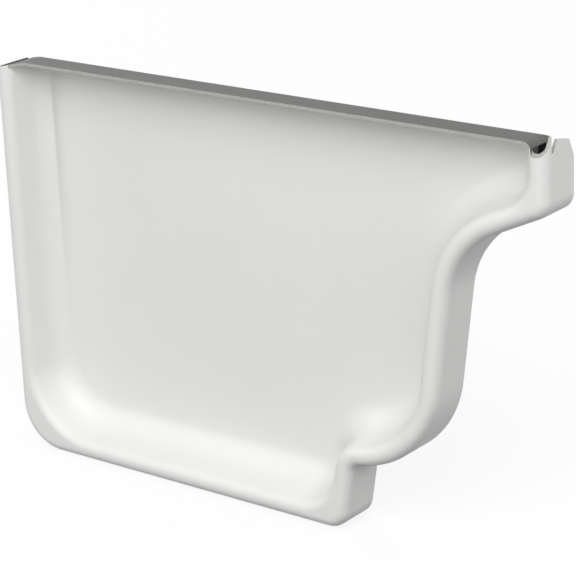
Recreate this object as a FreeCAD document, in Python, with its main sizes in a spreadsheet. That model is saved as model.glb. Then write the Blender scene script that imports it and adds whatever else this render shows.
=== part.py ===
import FreeCAD, Part
import math
import os
import Sketcher
from FreeCAD import Vector

# End cap of a K-style rain gutter: one sheet of painted aluminium, pressed and folded.
# X runs from the back of the gutter to its front lip, Y from the cap's rim into the gutter, Z is up.
# The panel lies behind a rounded rim, the nose. Outside the nose a flange turns back over the gutter,
# so that nose, dish wall and flange make a channel for the gutter's end. The panel's top edge is folded
# forward as a stiffening flange. It falls toward the back and turns down over the channel at the lip,
# where the nose is cut lower than the flange and a tab stands on the lip flange.

# Driving sizes in millimetres and degrees
SIZES = [
    ("cap_width", 127.0, "back face to lip face"),
    ("cap_height", 82.0, "bottom face to the top of the folded top flange"),
    ("flange_depth", 9.3, "rim plane to the free edge of the outer flange"),
    ("sheet_thickness", 0.6, "painted sheet"),
    ("bottom_width", 82.0, "back face to the foot of the riser, corners sharp"),
    ("riser_lean", 9.8, "riser's lean to the front, from upright"),
    ("belly_z", 34.9, "height of the centre of the belly's curve"),
    ("belly_radius", 21.0, "belly under the slanted front"),
    ("front_setback", 22.8, "lip face back to the slanted front, level with the belly's centre"),
    ("front_lean", 7.8, "the front's lean, from upright"),
    ("cove_radius", 17.0, "cove between the front and the lip's underside"),
    ("lip_slope", 25.0, "slope of the lip's underside"),
    ("lip_face", 12.7, "height of the lip's front face, corner sharp"),
    ("heel_radius", 9.7, "outline corner between back and bottom"),
    ("toe_radius", 4.5, "outline corner between bottom and riser"),
    ("step_radius", 2.2, "inner corner between riser and belly"),
    ("lip_radius", 3.5, "outline corner under the lip face"),
    ("nose_radius", 2.0, "outside of the rim's bend"),
    ("nose_flat", 0.1, "flat crest between the nose's two quarter bends"),
    ("dish_depth", 8.4, "rim plane to the painted face of the panel"),
    ("dish_draft", 18.0, "slope of the dish wall"),
    ("dish_fillet", 5.5, "bend between dish wall and panel"),
    ("dish_heel_radius", 14.0, "dish corner between back and bottom, at the rim"),
    ("dish_toe_radius", 9.0, "dish corner between bottom and riser, at the rim"),
    ("dish_lip_radius", 8.0, "dish corner under the lip, at the rim"),
    ("top_bend", 3.2, "inside of the bend between panel and top flange"),
    ("top_leg", 1.6, "straight leg of the top flange below that bend, behind the panel"),
    ("top_setback", 0.5, "rim plane to the front edge of the top flange"),
    ("back_drop", 1.8, "the back flange ends this far below the top flange"),
    ("back_slope", 13.0, "slope from there up to the top flange"),
    ("slope_ease", 6.0, "bend between that slope and the level part"),
    ("end_inset", 3.0, "lip face to the turned-down end of the top flange"),
    ("end_bend", 1.8, "outside of the bend at that end"),
    ("end_drop", 1.15, "how far that end reaches down"),
    ("clip_start", 6.4, "rim plane to the start of the clipped corner behind that end"),
    ("clip_run", 1.4, "how far the corner is clipped at the panel's back"),
    ("nose_drop", 2.5, "end of the nose's crest at the lip, below the top flange"),
    ("ear_start", 1.3, "rim plane to the foot of the ear on the nose"),
    ("ear_foot_drop", 1.1, "foot of the ear, below the top flange"),
    ("ear_end", 2.15, "rim plane to the ear's tip and the notch behind it"),
    ("ear_rise", 1.0, "tip of the ear, above the top flange"),
    ("notch_drop", 1.9, "root of the notch, below the top flange"),
    ("notch_end", 2.65, "rim plane to the root's far end"),
    ("tab_start", 4.0, "rim plane to the front corner of the lip tab"),
    ("tab_end", 7.8, "rim plane to the rear corner of the lip tab"),
    ("tab_rise", 0.15, "front corner of the tab, above the top flange"),
    ("tab_fall", 0.7, "rear corner of the tab, below the top flange"),
    ("tab_drop", 3.95, "the tab meets the free edge this far below the top flange"),
    ("spare", 20.0, "how far the untrimmed forms and the trims reach past the cap"),
    ("crown_radius", 16.0, "upper corners of the untrimmed forms"),
]

# Sizes worked out from those. The outer form carries the paint, the inner form lies one sheet behind it.
DERIVED = [
    ("bend_share", "tan((90 - dish_draft) / 2)"),
    ("dish_inset", "nose_radius * (1 + bend_share) + nose_flat"),
    ("lip_z", "cap_height - lip_face"),
    ("front_x", "cap_width - front_setback"),
    ("form_top", "cap_height + spare"),
    ("trim_top", "form_top + spare"),
    ("outer_bend", "top_bend + sheet_thickness"),
    ("panel_back", "dish_depth + sheet_thickness"),
    ("leg_foot", "cap_height - outer_bend - top_leg"),
    ("back_end", "dish_inset - sheet_thickness / 2"),
    ("lip_end", "cap_width - end_inset"),
    ("back_z", "cap_height - back_drop"),
    ("outer_shift", "0"),
    ("inner_shift", "sheet_thickness"),
    ("outer_back", "flange_depth"),
    ("inner_back", "flange_depth + spare"),
    ("outer_roof_back", "panel_back"),
    ("inner_roof_back", "dish_depth"),
    ("outer_roof_bend", "outer_bend"),
    ("inner_roof_bend", "top_bend"),
    ("outer_roof_start", "back_end"),
    ("inner_roof_start", "back_end - spare"),
    ("outer_roof_foot", "leg_foot"),
    ("inner_roof_foot", "leg_foot - spare"),
]
for form in ("outer", "inner"):
    DERIVED += [
        (f"{form}_nose", f"nose_radius - {form}_shift"),
        (f"{form}_fillet", f"dish_fillet + {form}_shift"),
        (f"{form}_floor", f"dish_depth + {form}_shift"),
        (f"{form}_heel", f"heel_radius - {form}_shift"),
        (f"{form}_toe", f"toe_radius - {form}_shift"),
        (f"{form}_lip", f"lip_radius - {form}_shift"),
        (f"{form}_dish", f"dish_inset - {form}_shift * bend_share"),
        (f"{form}_dish_heel", f"dish_heel_radius + {form}_shift * bend_share"),
        (f"{form}_dish_toe", f"dish_toe_radius + {form}_shift * bend_share"),
        (f"{form}_dish_lip", f"dish_lip_radius + {form}_shift * bend_share"),
    ]

CLOSE = 1e-4  # how near an edge lies to the plane that it is picked by

doc = FreeCAD.newDocument("gutter_end_cap")
sheet = doc.addObject("Spreadsheet::Sheet", "sizes")
for row, (alias, value, note) in enumerate(SIZES, start=1):
    sheet.set(f"A{row}", note)
    sheet.set(f"B{row}", str(value))
    sheet.setAlias(f"B{row}", alias)
for row, (alias, formula) in enumerate(DERIVED, start=len(SIZES) + 1):
    sheet.set(f"B{row}", f"={formula}")
    sheet.setAlias(f"B{row}", alias)
doc.recompute()


def new_body(name):
    return doc.addObject("PartDesign::Body", name)


def new_sketch(body, name, role, offset="0"):
    """An empty sketch on one of the body's origin planes, moved along the plane's normal."""
    sketch = body.newObject("Sketcher::SketchObject", name)
    plane = [feature for feature in body.Origin.OriginFeatures if feature.Role == role][0]
    sketch.AttachmentSupport = [(plane, "")]
    sketch.MapMode = "FlatFace"
    sketch.setExpression("AttachmentOffset.Base.z", offset)
    return sketch


def bind(sketch, constraint, formula):
    """Adds a dimension to a sketch and binds it to a formula of the sheet's sizes."""
    index = sketch.addConstraint(constraint)
    sketch.setExpression(f"Constraints[{index}]", formula)


def arc_between(centre, start, end, radius):
    """The shorter arc about a centre from one point to another."""
    middle = ((start + end) * 0.5 - centre).normalize() * radius
    return Part.Arc(start, centre + middle, end)


def draw_chain(sketch, corners, arcs):
    """A closed chain through the corners, straight unless a stretch has an arc with centre and radius."""
    for index, start in enumerate(corners):
        end = corners[(index + 1) % len(corners)]
        if index in arcs:
            centre, radius = arcs[index]
            sketch.addGeometry(arc_between(centre, start, end, radius), False)
        else:
            sketch.addGeometry(Part.LineSegment(start, end), False)


def hold_line(sketch, line, across, up, across_formula, up_formula):
    """Makes a line run through a point that formulas place."""
    point = sketch.addGeometry(Part.Point(Vector(across, up, 0)), True)
    sketch.addConstraint(Sketcher.Constraint("PointOnObject", point, 1, line))
    bind(sketch, Sketcher.Constraint("DistanceX", -1, 1, point, 1, across), across_formula)
    bind(sketch, Sketcher.Constraint("DistanceY", -1, 1, point, 1, up), up_formula)


def draw_profile(sketch, inset, heel, toe, lip):
    """The gutter's section, closed above the cap, a given distance inside its outline; cells give all sizes.

    Back, heel, bottom, toe, riser, step, belly, front, cove, underside, lip, lip face, front crown, top and
    back crown, in turn. The step, belly and cove keep their centres at every inset.
    """
    value = sheet.get
    width, bottom, lip_z = value("cap_width"), value("bottom_width"), value("lip_z")
    front_x, belly_z = value("front_x"), value("belly_z")
    riser_lean, front_lean = math.radians(value("riser_lean")), math.radians(value("front_lean"))
    slope = math.radians(value("lip_slope"))
    gap = value(inset)
    top_z, crown_r = value("form_top") - gap, value("crown_radius") - gap
    heel_r, toe_r, lip_r = value(heel), value(toe), value(lip)
    belly_r, cove_r, step_r = value("belly_radius"), value("cove_radius"), value("step_radius")
    riser_out = Vector(math.cos(riser_lean), -math.sin(riser_lean), 0)
    front_out = Vector(math.cos(front_lean), -math.sin(front_lean), 0)
    under_out = Vector(math.sin(slope), -math.cos(slope), 0)
    heel_c = Vector(gap + heel_r, gap + heel_r, 0)
    toe_rise = gap + toe_r
    toe_c = Vector(bottom - toe_rise / math.cos(riser_lean) + toe_rise * math.tan(riser_lean), toe_rise, 0)
    belly_c = Vector(front_x - belly_r / math.cos(front_lean), belly_z, 0)
    lip_in = gap + lip_r
    lip_c = Vector(width - lip_in, lip_z + lip_in * (1 - math.sin(slope)) / math.cos(slope), 0)
    back_crown_c = Vector(gap + crown_r, top_z - crown_r, 0)
    front_crown_c = Vector(width - gap - crown_r, top_z - crown_r, 0)
    # the cove's centre is one cove radius outside both the front and the lip's underside
    front_far = front_out.dot(Vector(front_x, belly_z, 0)) + cove_r
    under_far = under_out.dot(Vector(width, lip_z, 0)) + cove_r
    crossing = front_out.x * under_out.y - front_out.y * under_out.x
    cove_c = Vector(front_far * under_out.y - under_far * front_out.y,
                    under_far * front_out.x - front_far * under_out.x, 0) / crossing
    # the step's centre is one step radius outside the riser and touches the belly's circle
    foot = Vector(bottom + step_r / math.cos(riser_lean), 0, 0)
    along = Vector(math.sin(riser_lean), math.cos(riser_lean), 0)
    to_belly = belly_c - foot
    reach = to_belly.dot(along)
    side_squared = to_belly.dot(to_belly) - reach ** 2
    step_c = foot + along * (reach - math.sqrt((belly_r + step_r) ** 2 - side_squared))
    belly_r, cove_r, step_r = belly_r - gap, cove_r + gap, step_r + gap
    corners = [
        Vector(gap, back_crown_c.y, 0), Vector(gap, heel_c.y, 0), Vector(heel_c.x, gap, 0),
        Vector(toe_c.x, gap, 0), toe_c + riser_out * toe_r, step_c - riser_out * step_r,
        belly_c + (step_c - belly_c).normalize() * belly_r, belly_c + front_out * belly_r,
        cove_c - front_out * cove_r, cove_c - under_out * cove_r, lip_c + under_out * lip_r,
        Vector(width - gap, lip_c.y, 0), Vector(width - gap, front_crown_c.y, 0),
        Vector(front_crown_c.x, top_z, 0), Vector(back_crown_c.x, top_z, 0),
    ]
    count = len(corners)
    (back, heel_arc, bottom_line, toe_arc, riser, step, belly, front, cove, under, lip_arc, face,
     front_crown, top_line, back_crown) = range(count)
    arcs = {heel_arc: (heel_c, heel_r), toe_arc: (toe_c, toe_r), step: (step_c, step_r),
            belly: (belly_c, belly_r), cove: (cove_c, cove_r), lip_arc: (lip_c, lip_r),
            front_crown: (front_crown_c, crown_r), back_crown: (back_crown_c, crown_r)}
    draw_chain(sketch, corners, arcs)
    # an arc that runs clockwise is kept the other way round, so its first point is the profile's later one
    clockwise = (step, cove)
    for index in range(count):
        after = (index + 1) % count
        leave = 1 if index in clockwise else 2
        enter = 2 if after in clockwise else 1
        sketch.addConstraint(Sketcher.Constraint("Tangent", index, leave, after, enter))
    for index in (back, face):
        sketch.addConstraint(Sketcher.Constraint("Vertical", index))
    for index in (bottom_line, top_line):
        sketch.addConstraint(Sketcher.Constraint("Horizontal", index))
    # one point fixes where each slanted line runs
    hold_line(sketch, riser, bottom - gap / math.cos(riser_lean), 0,
              f"sizes.bottom_width - sizes.{inset} / cos(sizes.riser_lean)", "0")
    hold_line(sketch, front, front_x - gap / math.cos(front_lean), belly_z,
              f"sizes.front_x - sizes.{inset} / cos(sizes.front_lean)", "sizes.belly_z")
    hold_line(sketch, under, width, lip_z + gap / math.cos(slope),
              "sizes.cap_width", f"sizes.lip_z + sizes.{inset} / cos(sizes.lip_slope)")
    origin = (-1, 1)
    bind(sketch, Sketcher.Constraint("DistanceX", *origin, back, 1, gap), f"sizes.{inset}")
    bind(sketch, Sketcher.Constraint("DistanceY", *origin, bottom_line, 1, gap), f"sizes.{inset}")
    bind(sketch, Sketcher.Constraint("DistanceX", *origin, face, 1, width - gap),
         f"sizes.cap_width - sizes.{inset}")
    bind(sketch, Sketcher.Constraint("DistanceY", *origin, top_line, 1, top_z),
         f"sizes.form_top - sizes.{inset}")
    bind(sketch, Sketcher.Constraint("DistanceY", *origin, belly, 3, belly_z), "sizes.belly_z")
    bind(sketch, Sketcher.Constraint("Angle", -1, 1, riser, 1, math.pi / 2 - riser_lean),
         "90 - sizes.riser_lean")
    bind(sketch, Sketcher.Constraint("Angle", -1, 1, front, 1, math.pi / 2 - front_lean),
         "90 - sizes.front_lean")
    bind(sketch, Sketcher.Constraint("Angle", -1, 1, under, 1, slope), "sizes.lip_slope")
    radii = {heel_arc: f"sizes.{heel}", toe_arc: f"sizes.{toe}", lip_arc: f"sizes.{lip}",
             step: f"sizes.step_radius + sizes.{inset}", belly: f"sizes.belly_radius - sizes.{inset}",
             cove: f"sizes.cove_radius + sizes.{inset}",
             front_crown: f"sizes.crown_radius - sizes.{inset}",
             back_crown: f"sizes.crown_radius - sizes.{inset}"}
    for index, formula in radii.items():
        bind(sketch, Sketcher.Constraint("Radius", index, arcs[index][1]), formula)


def draw_polygon(sketch, corners):
    """A closed polygon whose corners are pairs of formulas."""
    count = len(corners)
    turn = 2 * math.pi / count
    start = [Vector(math.cos(turn * index), math.sin(turn * index), 0) for index in range(count)]
    for index in range(count):
        sketch.addGeometry(Part.LineSegment(start[index], start[(index + 1) % count]), False)
    for index in range(count):
        sketch.addConstraint(Sketcher.Constraint("Coincident", index, 2, (index + 1) % count, 1))
    for index, (across, up) in enumerate(corners):
        bind(sketch, Sketcher.Constraint("DistanceX", -1, 1, index, 1, start[index].x), across)
        bind(sketch, Sketcher.Constraint("DistanceY", -1, 1, index, 1, start[index].y), up)


def add_pad(body, name, sketch, length, reverse=False):
    pad = body.newObject("PartDesign::Pad", name)
    pad.Profile = sketch
    pad.setExpression("Length", length)
    pad.Reversed = reverse
    doc.recompute()
    return pad


def add_fillet(body, name, base, wanted, radius):
    """Rounds every edge of the base that passes the test."""
    edges = enumerate(base.Shape.Edges, start=1)
    names = [f"Edge{index}" for index, edge in edges if wanted(edge.BoundBox)]
    fillet = body.newObject("PartDesign::Fillet", name)
    fillet.Base = (base, names)
    fillet.setExpression("Radius", radius)
    doc.recompute()
    return fillet


def pressed_form(form):
    """A solid form of the cap's rim and dish, untrimmed, with one side of the sheet as its surface."""
    body = new_body(f"{form}_form")
    rim_y = f"-sizes.{form}_shift"
    outline = new_sketch(body, f"{form}_outline", "XZ_Plane", rim_y)
    draw_profile(outline, f"{form}_shift", f"{form}_heel", f"{form}_toe", f"{form}_lip")
    add_pad(body, f"{form}_block", outline, f"sizes.{form}_back - sizes.{form}_shift", reverse=True)
    opening = new_sketch(body, f"{form}_opening", "XZ_Plane", rim_y)
    draw_profile(opening, f"{form}_dish", f"{form}_dish_heel", f"{form}_dish_toe", f"{form}_dish_lip")
    dish = body.newObject("PartDesign::Pocket", f"{form}_dish_pocket")
    dish.Profile = opening
    dish.setExpression("Length", "sizes.dish_depth")
    dish.setExpression("TaperAngle", "-sizes.dish_draft")
    doc.recompute()

    def in_plane(box, y):
        return abs(box.YMin - y) < CLOSE and abs(box.YMax - y) < CLOSE

    floor_y, front_y = sheet.get(f"{form}_floor"), sheet.get(f"{form}_shift")
    bend = add_fillet(
        body, f"{form}_dish_bend", dish, lambda box: in_plane(box, floor_y), f"sizes.{form}_fillet")
    add_fillet(body, f"{form}_nose_bend", bend, lambda box: in_plane(box, front_y), f"sizes.{form}_nose")
    return body


def draw_roof(sketch, form):
    """A block under the top flange's run from the lip to the back: end, bend, level part, ease and slope."""
    value = sheet.get
    shift, slope = value(f"{form}_shift"), math.radians(value("back_slope"))
    top_z, foot_z = value("cap_height") - shift, value(f"{form}_roof_foot")
    start_x, end_x = value(f"{form}_roof_start"), value("lip_end") - shift
    bend_r, ease_r = value("end_bend") - shift, value("slope_ease") - shift
    slope_z = value("back_z") - shift / math.cos(slope)
    kink_x = (top_z - slope_z) / math.tan(slope)
    ease_c = Vector(kink_x + ease_r * math.tan(slope / 2), top_z - ease_r, 0)
    bend_c = Vector(end_x - bend_r, top_z - bend_r, 0)
    corners = [
        Vector(end_x, foot_z, 0), Vector(end_x, bend_c.y, 0), Vector(bend_c.x, top_z, 0),
        Vector(ease_c.x, top_z, 0), ease_c + Vector(-math.sin(slope), math.cos(slope), 0) * ease_r,
        Vector(start_x, slope_z + start_x * math.tan(slope), 0), Vector(start_x, foot_z, 0),
    ]
    count = len(corners)
    end, bend, level, ease, fall, start, foot = range(count)
    arcs = {bend: (bend_c, bend_r), ease: (ease_c, ease_r)}
    draw_chain(sketch, corners, arcs)
    for index in range(count):
        after = (index + 1) % count
        joint = "Tangent" if index in arcs or after in arcs else "Coincident"
        sketch.addConstraint(Sketcher.Constraint(joint, index, 2, after, 1))
    for index in (end, start):
        sketch.addConstraint(Sketcher.Constraint("Vertical", index))
    for index in (level, foot):
        sketch.addConstraint(Sketcher.Constraint("Horizontal", index))
    origin = (-1, 1)
    bind(sketch, Sketcher.Constraint("DistanceX", *origin, end, 1, end_x),
         f"sizes.lip_end - sizes.{form}_shift")
    bind(sketch, Sketcher.Constraint("DistanceY", *origin, end, 1, foot_z), f"sizes.{form}_roof_foot")
    bind(sketch, Sketcher.Constraint("DistanceY", *origin, level, 1, top_z),
         f"sizes.cap_height - sizes.{form}_shift")
    bind(sketch, Sketcher.Constraint("DistanceX", *origin, start, 1, start_x), f"sizes.{form}_roof_start")
    bind(sketch, Sketcher.Constraint("Radius", bend, bend_r), f"sizes.end_bend - sizes.{form}_shift")
    bind(sketch, Sketcher.Constraint("Radius", ease, ease_r), f"sizes.slope_ease - sizes.{form}_shift")
    # two points fix where the slope runs
    fall_z = f"sizes.back_z - sizes.{form}_shift / cos(sizes.back_slope)"
    spare = value("spare")
    hold_line(sketch, fall, 0, slope_z, "0", fall_z)
    hold_line(sketch, fall, spare, slope_z + spare * math.tan(slope),
              "sizes.spare", f"{fall_z} + sizes.spare * tan(sizes.back_slope)")


def prism(name, role, corners, start, length, reverse=False):
    """A polygon drawn out at right angles to its plane."""
    body = new_body(name)
    sketch = new_sketch(body, f"{name}_outline", role, start)
    draw_polygon(sketch, corners)
    add_pad(body, f"{name}_run", sketch, length, reverse)
    return body


def roof_form(form):
    """A block whose top, end and back are one side of the top flange's sheet, mitred at the corner."""
    run = new_body(f"{form}_roof_run")
    outline = new_sketch(run, f"{form}_run_outline", "XZ_Plane", "2 * sizes.spare")
    draw_roof(outline, form)
    add_pad(run, f"{form}_run_block", outline, "4 * sizes.spare", reverse=True)
    top_z = f"sizes.cap_height - sizes.{form}_shift"
    fold = prism(
        f"{form}_roof_fold", "YZ_Plane",
        [(f"sizes.{form}_roof_back", f"sizes.{form}_roof_foot"),
         (f"sizes.{form}_roof_back", top_z),
         ("-2 * sizes.spare", top_z),
         ("-2 * sizes.spare", f"sizes.{form}_roof_foot")],
        "-sizes.spare", "sizes.cap_width + 2 * sizes.spare")
    back_y, ridge_z = sheet.get(f"{form}_roof_back"), sheet.get("cap_height") - sheet.get(f"{form}_shift")
    add_fillet(
        fold, f"{form}_roof_bend", fold.Tip,
        lambda box: abs(box.YMin - back_y) < CLOSE and abs(box.YMax - back_y) < CLOSE
        and abs(box.ZMin - ridge_z) < CLOSE and abs(box.ZMax - ridge_z) < CLOSE, f"sizes.{form}_roof_bend")
    block = doc.addObject("Part::Common", f"{form}_roof")
    block.Base = run
    block.Tool = fold
    block.Refine = True
    return block


def cut(name, base, tool):
    result = doc.addObject("Part::Cut", name)
    result.Base = base
    result.Tool = tool
    result.Refine = True
    return result


outer_form = pressed_form("outer")
inner_form = pressed_form("inner")
skin = cut("skin", outer_form, inner_form)

# The top flange: a sheet over a block, open to the front and below, with its end cut short
through = "sizes.flange_depth + 2 * sizes.spare"
outer_roof = roof_form("outer")
inner_roof = roof_form("inner")
roof = cut("roof", outer_roof, inner_roof)
roof_front = prism(
    "roof_front", "YZ_Plane",
    [("-3 * sizes.spare", "-sizes.spare"),
     ("sizes.top_setback", "-sizes.spare"),
     ("sizes.top_setback", "sizes.trim_top"),
     ("-3 * sizes.spare", "sizes.trim_top")],
    "-sizes.spare", "sizes.cap_width + 2 * sizes.spare")
roof = cut("roof_to_front", roof, roof_front)
roof_end = prism(
    "roof_end", "XZ_Plane",
    [("sizes.lip_end - sizes.end_bend", "-sizes.spare"),
     ("sizes.cap_width", "-sizes.spare"),
     ("sizes.cap_width", "sizes.cap_height - sizes.end_drop"),
     ("sizes.lip_end - sizes.end_bend", "sizes.cap_height - sizes.end_drop")],
    "sizes.spare", "sizes.dish_depth + sizes.spare", True)
roof = cut("roof_to_end", roof, roof_end)
roof_corner = prism(
    "roof_corner", "XY_Plane",
    [("sizes.lip_end", "sizes.clip_start"),
     ("sizes.cap_width", "sizes.clip_start"),
     ("sizes.cap_width", "sizes.panel_back"),
     ("sizes.lip_end - sizes.clip_run", "sizes.panel_back")],
    "0", "sizes.trim_top")
top_flange = cut("top_flange", roof, roof_corner)

# What lies above or behind the top flange is cut from the dish's walls and panel
over_dish = prism(
    "over_dish", "XZ_Plane",
    [("sizes.back_end", "sizes.leg_foot"),
     ("sizes.lip_end", "sizes.leg_foot"),
     ("sizes.lip_end", "sizes.trim_top"),
     ("sizes.back_end", "sizes.trim_top")],
    "sizes.spare", through, True)
above_flange = cut("above_flange", over_dish, outer_roof)
open_pan = cut("open_pan", skin, above_flange)

# The channel's upper ends: a straight slope at the back; crest, ear, notch and tab at the lip
back_trim = prism(
    "back_trim", "XZ_Plane",
    [("0", "sizes.back_z"),
     ("sizes.back_end", "sizes.back_z + sizes.back_end * tan(sizes.back_slope)"),
     ("sizes.back_end", "sizes.trim_top"),
     ("-sizes.spare", "sizes.trim_top"),
     ("-sizes.spare", "sizes.back_z")],
    "sizes.spare", through, True)
lip_trim = prism(
    "lip_trim", "YZ_Plane",
    [("-sizes.spare", "sizes.cap_height - sizes.nose_drop"),
     ("0", "sizes.cap_height - sizes.nose_drop"),
     ("sizes.ear_start", "sizes.cap_height - sizes.ear_foot_drop"),
     ("sizes.ear_end", "sizes.cap_height + sizes.ear_rise"),
     ("sizes.ear_end", "sizes.cap_height - sizes.notch_drop"),
     ("sizes.notch_end", "sizes.cap_height - sizes.notch_drop"),
     ("sizes.tab_start", "sizes.cap_height + sizes.tab_rise"),
     ("sizes.tab_end", "sizes.cap_height - sizes.tab_fall"),
     ("sizes.flange_depth", "sizes.cap_height - sizes.tab_drop"),
     ("sizes.flange_depth + sizes.spare", "sizes.cap_height - sizes.tab_drop"),
     ("sizes.flange_depth + sizes.spare", "sizes.trim_top"),
     ("-sizes.spare", "sizes.trim_top")],
    "sizes.lip_end", "sizes.end_inset + sizes.spare")
pan = cut("pan_at_back", open_pan, back_trim)
pan = cut("pan_at_lip", pan, lip_trim)
end_cap = doc.addObject("Part::Fuse", "cap")
end_cap.Base = pan
end_cap.Tool = top_flange
end_cap.Refine = True
end_cap.Label = "end_cap"
end_cap.setExpression("Placement.Base.x", "-sizes.cap_width / 2")
end_cap.setExpression("Placement.Base.y", "-sizes.flange_depth / 2")
doc.recompute()

for item in doc.Objects:
    if "Invalid" in item.State or "Error" in item.State:
        raise RuntimeError(f"{item.Label} did not build: {item.State}")
shape = end_cap.Shape
if shape.isNull() or not shape.isValid() or len(shape.Solids) != 1:
    raise RuntimeError(f"{end_cap.Label} is not one valid solid")
os.makedirs("parts", exist_ok=True)
shape.exportStep(f"parts/{end_cap.Label}.step")
box = shape.optimalBoundingBox()
lengths = f"{box.XLength:.2f} x {box.YLength:.2f} x {box.ZLength:.2f} mm"
print(f"{end_cap.Label}: {lengths}, {shape.Volume:.0f} mm3")
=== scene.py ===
import bmesh
import bpy
import math
from mathutils import Matrix, Vector


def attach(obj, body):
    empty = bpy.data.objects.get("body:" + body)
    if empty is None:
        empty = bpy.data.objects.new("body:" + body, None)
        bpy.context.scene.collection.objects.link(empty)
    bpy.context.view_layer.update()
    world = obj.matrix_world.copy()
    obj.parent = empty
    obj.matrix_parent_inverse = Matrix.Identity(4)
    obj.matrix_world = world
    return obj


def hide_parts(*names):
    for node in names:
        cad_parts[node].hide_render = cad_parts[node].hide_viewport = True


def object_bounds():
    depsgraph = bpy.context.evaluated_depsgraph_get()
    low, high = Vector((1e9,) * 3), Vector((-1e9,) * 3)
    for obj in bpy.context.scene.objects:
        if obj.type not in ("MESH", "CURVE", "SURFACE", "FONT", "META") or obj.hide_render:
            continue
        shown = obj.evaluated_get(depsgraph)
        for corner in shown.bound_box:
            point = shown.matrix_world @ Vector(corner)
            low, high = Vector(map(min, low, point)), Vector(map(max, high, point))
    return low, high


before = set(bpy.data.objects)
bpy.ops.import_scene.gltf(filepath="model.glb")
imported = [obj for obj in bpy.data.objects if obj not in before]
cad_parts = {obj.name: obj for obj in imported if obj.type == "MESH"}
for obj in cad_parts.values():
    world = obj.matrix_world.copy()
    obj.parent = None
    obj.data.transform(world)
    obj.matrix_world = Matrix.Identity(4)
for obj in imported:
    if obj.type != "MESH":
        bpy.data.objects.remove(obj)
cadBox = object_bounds()
print("frame loaded:", sorted(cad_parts))


def newNode(tree, kind, **settings):
    node = tree.nodes.new(kind)
    for name, value in settings.items():
        setattr(node, name, value)
    return node


def setInputs(node, values):
    for name, value in values.items():
        node.inputs[name].default_value = value


def emptyTree(owner):
    owner.use_nodes = True
    owner.node_tree.nodes.clear()
    return owner.node_tree


def newFinish(name):
    material = bpy.data.materials.new(name)
    tree = emptyTree(material)
    output = newNode(tree, "ShaderNodeOutputMaterial")
    shader = newNode(tree, "ShaderNodeBsdfPrincipled")
    tree.links.new(shader.outputs["BSDF"], output.inputs["Surface"])
    return material, tree, shader


def remap(tree, source, span, low, high):
    node = newNode(tree, "ShaderNodeMapRange", clamp=True)
    setInputs(node, {"From Min": span[0], "From Max": span[1], "To Min": low, "To Max": high})
    tree.links.new(source, node.inputs["Value"])
    return node.outputs["Result"]


def mixColour(tree, factor, first, second):
    node = newNode(tree, "ShaderNodeMix", data_type="RGBA")
    setInputs(node, {"A": (*first, 1), "B": (*second, 1)})
    tree.links.new(factor, node.inputs["Factor"])
    return node.outputs["Result"]


def mixShader(tree, factor, first, second):
    node = newNode(tree, "ShaderNodeMixShader")
    tree.links.new(factor, node.inputs["Fac"])
    tree.links.new(first, node.inputs[1])
    tree.links.new(second, node.inputs[2])
    return node.outputs["Shader"]


def noise(tree, place, scale, detail):
    node = newNode(tree, "ShaderNodeTexNoise")
    setInputs(node, {"Scale": scale, "Detail": detail})
    tree.links.new(place, node.inputs["Vector"])
    return node.outputs["Fac"]


def bump(tree, height, depth):
    node = newNode(tree, "ShaderNodeBump")
    setInputs(node, {"Strength": 1.0, "Distance": depth})
    tree.links.new(height, node.inputs["Height"])
    return node


rollMark = {
    "scale": 400.0,
    "length": 0.04,  # squeeze along the coil, so a smaller value gives longer streaks
    "detail": 4.0,
    "roughness": 0.6,
}


# streaks along the coil's rolling direction, on the bare and thinly coated parts of the sheet
def makeRollStreaks():
    tree = bpy.data.node_groups.new("rollStreaks", "ShaderNodeTree")
    for name, value in (("Scale", rollMark["scale"]), ("Length", rollMark["length"])):
        socket = tree.interface.new_socket(name, in_out="INPUT", socket_type="NodeSocketFloat")
        socket.default_value = value
    tree.interface.new_socket("Streak", in_out="OUTPUT", socket_type="NodeSocketFloat")
    groupIn = newNode(tree, "NodeGroupInput")
    groupOut = newNode(tree, "NodeGroupOutput")
    place = newNode(tree, "ShaderNodeTexCoord")
    stretch = newNode(tree, "ShaderNodeCombineXYZ")
    setInputs(stretch, {"Y": 1.0, "Z": 1.0})
    tree.links.new(groupIn.outputs["Length"], stretch.inputs["X"])
    scaled = newNode(tree, "ShaderNodeVectorMath", operation="MULTIPLY")
    tree.links.new(place.outputs["Object"], scaled.inputs[0])
    tree.links.new(stretch.outputs["Vector"], scaled.inputs[1])
    streaks = newNode(tree, "ShaderNodeTexNoise")
    setInputs(streaks, {"Detail": rollMark["detail"], "Roughness": rollMark["roughness"]})
    tree.links.new(scaled.outputs["Vector"], streaks.inputs["Vector"])
    tree.links.new(groupIn.outputs["Scale"], streaks.inputs["Scale"])
    tree.links.new(streaks.outputs["Fac"], groupOut.inputs["Streak"])
    return tree


rollStreaks = makeRollStreaks()
print("shared effects made")

paint = {
    "colour": (0.745, 0.742, 0.734),
    "cloudColour": (0.722, 0.719, 0.711),
    "cloudScale": 22.0,
    "cloudDetail": 3.0,
    "cloudSpan": (0.35, 0.7),
    "rough": (0.45, 0.52),
    "roughSpan": (0.3, 0.7),
    "waveScale": 45.0,  # slow waves of the pressed sheet
    "waveDetail": 0.0,
    "waveDepth": 0.00006,
    "peelScale": 1400.0,  # fine grain of the paint
    "peelDetail": 1.0,
    "peelDepth": 0.000002,
    "coat": 0.08,
    "coatRoughness": 0.15,
}


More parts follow.
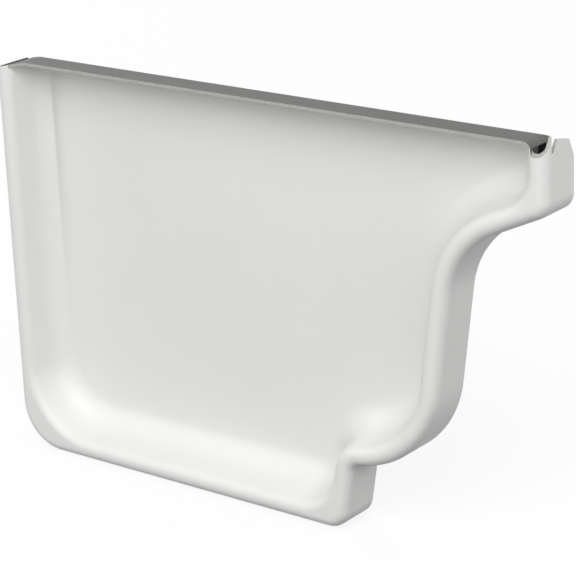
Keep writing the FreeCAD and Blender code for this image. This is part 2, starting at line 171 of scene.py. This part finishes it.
def makePaint():
    material, tree, shader = newFinish("whitePaint")
    place = newNode(tree, "ShaderNodeTexCoord").outputs["Object"]
    clouds = noise(tree, place, paint["cloudScale"], paint["cloudDetail"])
    cloudMask = remap(tree, clouds, paint["cloudSpan"], 0.0, 1.0)
    colour = mixColour(tree, cloudMask, paint["colour"], paint["cloudColour"])
    tree.links.new(colour, shader.inputs["Base Color"])
    rough = remap(tree, clouds, paint["roughSpan"], *paint["rough"])
    tree.links.new(rough, shader.inputs["Roughness"])
    wave = bump(tree, noise(tree, place, paint["waveScale"], paint["waveDetail"]), paint["waveDepth"])
    peel = bump(tree, noise(tree, place, paint["peelScale"], paint["peelDetail"]), paint["peelDepth"])
    tree.links.new(wave.outputs["Normal"], peel.inputs["Normal"])
    tree.links.new(peel.outputs["Normal"], shader.inputs["Normal"])
    setInputs(shader, {"Coat Weight": paint["coat"], "Coat Roughness": paint["coatRoughness"]})
    return material


def makeStreakedFinish(name, finish):
    material, tree, shader = newFinish(name)
    streaks = newNode(tree, "ShaderNodeGroup", node_tree=rollStreaks)
    setInputs(streaks, {"Scale": finish["streakScale"], "Length": finish["streakLength"]})
    streak = streaks.outputs["Streak"]
    mask = remap(tree, streak, finish["streakSpan"], 0.0, 1.0)
    colour = mixColour(tree, mask, finish["colour"], finish["streakColour"])
    tree.links.new(colour, shader.inputs["Base Color"])
    rough = remap(tree, streak, finish["roughSpan"], *finish["rough"])
    tree.links.new(rough, shader.inputs["Roughness"])
    setInputs(shader, {"Metallic": finish["metallic"], "Specular IOR Level": finish["gloss"]})
    return material


washCoat = {
    "colour": (0.12, 0.1185, 0.115),
    "streakColour": (0.155, 0.153, 0.148),
    "streakScale": 700.0,
    "streakLength": 0.03,
    "streakSpan": (0.35, 0.7),
    "rough": (0.55, 0.68),
    "roughSpan": (0.3, 0.7),
    "metallic": 0.0,
    "gloss": 0.1,
}


def makeWashCoat():
    return makeStreakedFinish("greyWashCoat", washCoat)


cutEdge = {
    "colour": (0.4, 0.397, 0.385),
    "streakColour": (0.325, 0.321, 0.311),
    "streakScale": 2500.0,
    "streakLength": 0.5,
    "streakSpan": (0.4, 0.65),
    "rough": (0.3, 0.5),
    "roughSpan": (0.3, 0.7),
    "metallic": 0.3,
    "gloss": 0.5,
}


def makeCutEdge():
    return makeStreakedFinish("bareCutEdge", cutEdge)


capSheet = {
    "node": "end_cap",
    "slot": "white_coil_paint",
    "weld": 0.000002,
    "cutWidth": 0.00096,
    "foldAngle": math.radians(40),
}


def isFold(edge):
    return len(edge.link_faces) != 2 or edge.calc_face_angle() > capSheet["foldAngle"]


def groupArea(group):
    return sum(face.calc_area() for face in group)


# faces that meet smoothly make one group, the largest first
def smoothGroups(bm):
    reached = set()
    groups = []
    for seed in bm.faces:
        if seed in reached:
            continue
        reached.add(seed)
        group = []
        waiting = [seed]
        while waiting:
            face = waiting.pop()
            group.append(face)
            for edge in face.edges:
                if isFold(edge):
                    continue
                for other in edge.link_faces:
                    if other not in reached:
                        reached.add(other)
                        waiting.append(other)
        groups.append(group)
    return sorted(groups, key=groupArea, reverse=True)


# a cut edge is a band no wider than the sheet is thick, or a little more where the cut is slanted
def isCutEdge(group):
    inside = set(group)
    rim = 0.0
    for face in group:
        for edge in face.edges:
            if any(other not in inside for other in edge.link_faces):
                rim += edge.calc_length()
    return 2 * groupArea(group) < capSheet["cutWidth"] * rim


# the two largest groups are the sheet's sides, and the painted one faces away from the gutter
def sortFinishes(groups):
    painted, coatedAndShaded, bare = range(3)
    sides = sorted(groups[:2], key=lambda group: sum(face.normal.y * face.calc_area() for face in group))
    finishes = [(sides[0], painted), (sides[1], coatedAndShaded)]
    # the smaller groups that are not cut edges get the grey wash coat; among them are faces of the
    # painted side inside the channel ends, the strip's underside and the back leg's front, which are
    # made dark there as painted shade
    finishes += [(group, bare if isCutEdge(group) else coatedAndShaded) for group in groups[2:]]
    return finishes


def buildCapSheet():
    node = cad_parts[capSheet["node"]]
    bm = bmesh.new()
    bm.from_mesh(node.data)
    bmesh.ops.remove_doubles(bm, verts=bm.verts, dist=capSheet["weld"])
    bm.normal_update()
    for group, finish in sortFinishes(smoothGroups(bm)):
        for face in group:
            face.material_index = finish
            face.smooth = True
    for edge in bm.edges:
        edge.smooth = not isFold(edge)
    mesh = bpy.data.meshes.new("capSheet")
    bm.to_mesh(mesh)
    bm.free()
    piece = bpy.data.objects.new("capSheet", mesh)
    bpy.context.scene.collection.objects.link(piece)
    for material in (makePaint(), makeWashCoat(), makeCutEdge()):
        mesh.materials.append(material)
    shading = piece.modifiers.new("evenShading", "WEIGHTED_NORMAL")
    shading.mode = "FACE_AREA"
    shading.keep_sharp = True
    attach(piece, "root")
    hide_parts(capSheet["node"])


buildCapSheet()
print("cap sheet built with its three finishes")

studio = {
    "floorSize": 4.0,
    "floorColour": (0.9, 0.9, 0.9),
    "floorBounce": (0.12, 0.12, 0.12),  # dark, so that little light comes up onto the object
    "floorGlow": 0.85,
    "skyLight": 0.36,
    "lampDistance": 0.9,
    "lamps": [
        # name, direction from the object, size, power
        ("keyLamp", (0.4, -0.8, 1.0), 0.7, 2.2),
        ("sideLamp", (0.9, -0.5, 0.4), 0.6, 1.85),
        ("frontLamp", (0.2, -1.0, 0.7), 0.9, 4.2),
        ("fillLamp", (-0.8, -0.9, 0.3), 0.5, 1.1),
        ("backLamp", (0.9, 0.8, 0.7), 0.7, 2.2),
        ("rearLamp", (-1.0, 0.5, 0.7), 0.7, 2.6),
    ],
}


# 1 for a ray that shows the surroundings, straight, mirrored or through glass
# 0 for a ray that lights the object
def seenRay(tree):
    ray = newNode(tree, "ShaderNodeLightPath")
    mirrored = newNode(tree, "ShaderNodeMath", operation="MAXIMUM")
    tree.links.new(ray.outputs["Is Camera Ray"], mirrored.inputs[0])
    tree.links.new(ray.outputs["Is Glossy Ray"], mirrored.inputs[1])
    seen = newNode(tree, "ShaderNodeMath", operation="MAXIMUM")
    tree.links.new(mirrored.outputs["Value"], seen.inputs[0])
    tree.links.new(ray.outputs["Is Transmission Ray"], seen.inputs[1])
    return seen.outputs["Value"]


# the floor glows nearly white where it is seen, and the matte rest of it keeps the shadow
def makeFloorFinish():
    material = bpy.data.materials.new("paleFloor")
    tree = emptyTree(material)
    output = newNode(tree, "ShaderNodeOutputMaterial")
    matte = newNode(tree, "ShaderNodeBsdfDiffuse")
    glow = newNode(tree, "ShaderNodeEmission")
    setInputs(glow, {"Strength": 1.0})
    seen = seenRay(tree)
    colour = mixColour(tree, seen, studio["floorBounce"], studio["floorColour"])
    tree.links.new(colour, matte.inputs["Color"])
    share = newNode(tree, "ShaderNodeMath", operation="MULTIPLY")
    share.inputs[1].default_value = studio["floorGlow"]
    tree.links.new(seen, share.inputs[0])
    mixed = mixShader(tree, share.outputs["Value"], matte.outputs["BSDF"], glow.outputs["Emission"])
    tree.links.new(mixed, output.inputs["Surface"])
    return material


def buildFloor():
    size = studio["floorSize"]
    mesh = bpy.data.meshes.new("floor")
    corners = [(-size, -size, 0), (size, -size, 0), (size, size, 0), (-size, size, 0)]
    mesh.from_pydata(corners, [], [(0, 1, 2, 3)])
    floor = bpy.data.objects.new("floor", mesh)
    bpy.context.scene.collection.objects.link(floor)
    mesh.materials.append(makeFloorFinish())


def buildSky():
    world = bpy.data.worlds.new("studioSky")
    bpy.context.scene.world = world
    tree = emptyTree(world)
    output = newNode(tree, "ShaderNodeOutputWorld")
    light = newNode(tree, "ShaderNodeBackground")
    setInputs(light, {"Color": (1, 1, 1, 1), "Strength": studio["skyLight"]})
    white = newNode(tree, "ShaderNodeBackground")
    setInputs(white, {"Color": (1, 1, 1, 1), "Strength": 1.0})
    mixed = mixShader(tree, seenRay(tree), light.outputs["Background"], white.outputs["Background"])
    tree.links.new(mixed, output.inputs["Surface"])


def buildLamps():
    middle = (cadBox[0] + cadBox[1]) / 2
    for name, direction, size, power in studio["lamps"]:
        data = bpy.data.lights.new(name, "AREA")
        data.shape = "DISK"
        data.size = size
        data.energy = power
        lamp = bpy.data.objects.new(name, data)
        bpy.context.scene.collection.objects.link(lamp)
        toward = Vector(direction).normalized()
        lamp.location = middle + toward * studio["lampDistance"]
        lamp.rotation_mode = "QUATERNION"
        lamp.rotation_quaternion = (-toward).to_track_quat("-Z", "Y")


bpy.context.scene.view_settings.view_transform = "Standard"
buildFloor()
buildSky()
buildLamps()
print("studio built")

view = {
    "azimuth": math.radians(38.147),
    "elevation": math.radians(19.130),
    "roll": math.radians(-2.368),
    "distance": 0.45124,
    "target": (0.003291, 0.00135, 0.044331),
    "focalPixels": 2402.4,
    "imagePixels": 576,
    "sensor": 36.0,
    "clipNear": 0.01,
    "clipFar": 50.0,
}


def buildCamera():
    data = bpy.data.cameras.new("photoCamera")
    data.sensor_width = view["sensor"]
    data.lens = view["focalPixels"] / view["imagePixels"] * view["sensor"]
    data.clip_start = view["clipNear"]
    data.clip_end = view["clipFar"]
    camera = bpy.data.objects.new("photoCamera", data)
    bpy.context.scene.collection.objects.link(camera)
    azimuth, elevation, roll = view["azimuth"], view["elevation"], view["roll"]
    back = Vector((
        math.sin(azimuth) * math.cos(elevation),
        -math.cos(azimuth) * math.cos(elevation),
        math.sin(elevation),
    ))
    level = (-back).cross(Vector((0, 0, 1))).normalized()
    upright = level.cross(-back)
    right = level * math.cos(roll) + upright * math.sin(roll)
    up = upright * math.cos(roll) - level * math.sin(roll)
    turn = Matrix((right, up, back)).transposed().to_4x4()
    place = Matrix.Translation(Vector(view["target"]) + back * view["distance"])
    camera.matrix_world = place @ turn
    bpy.context.scene.camera = camera


buildCamera()
print("camera placed")
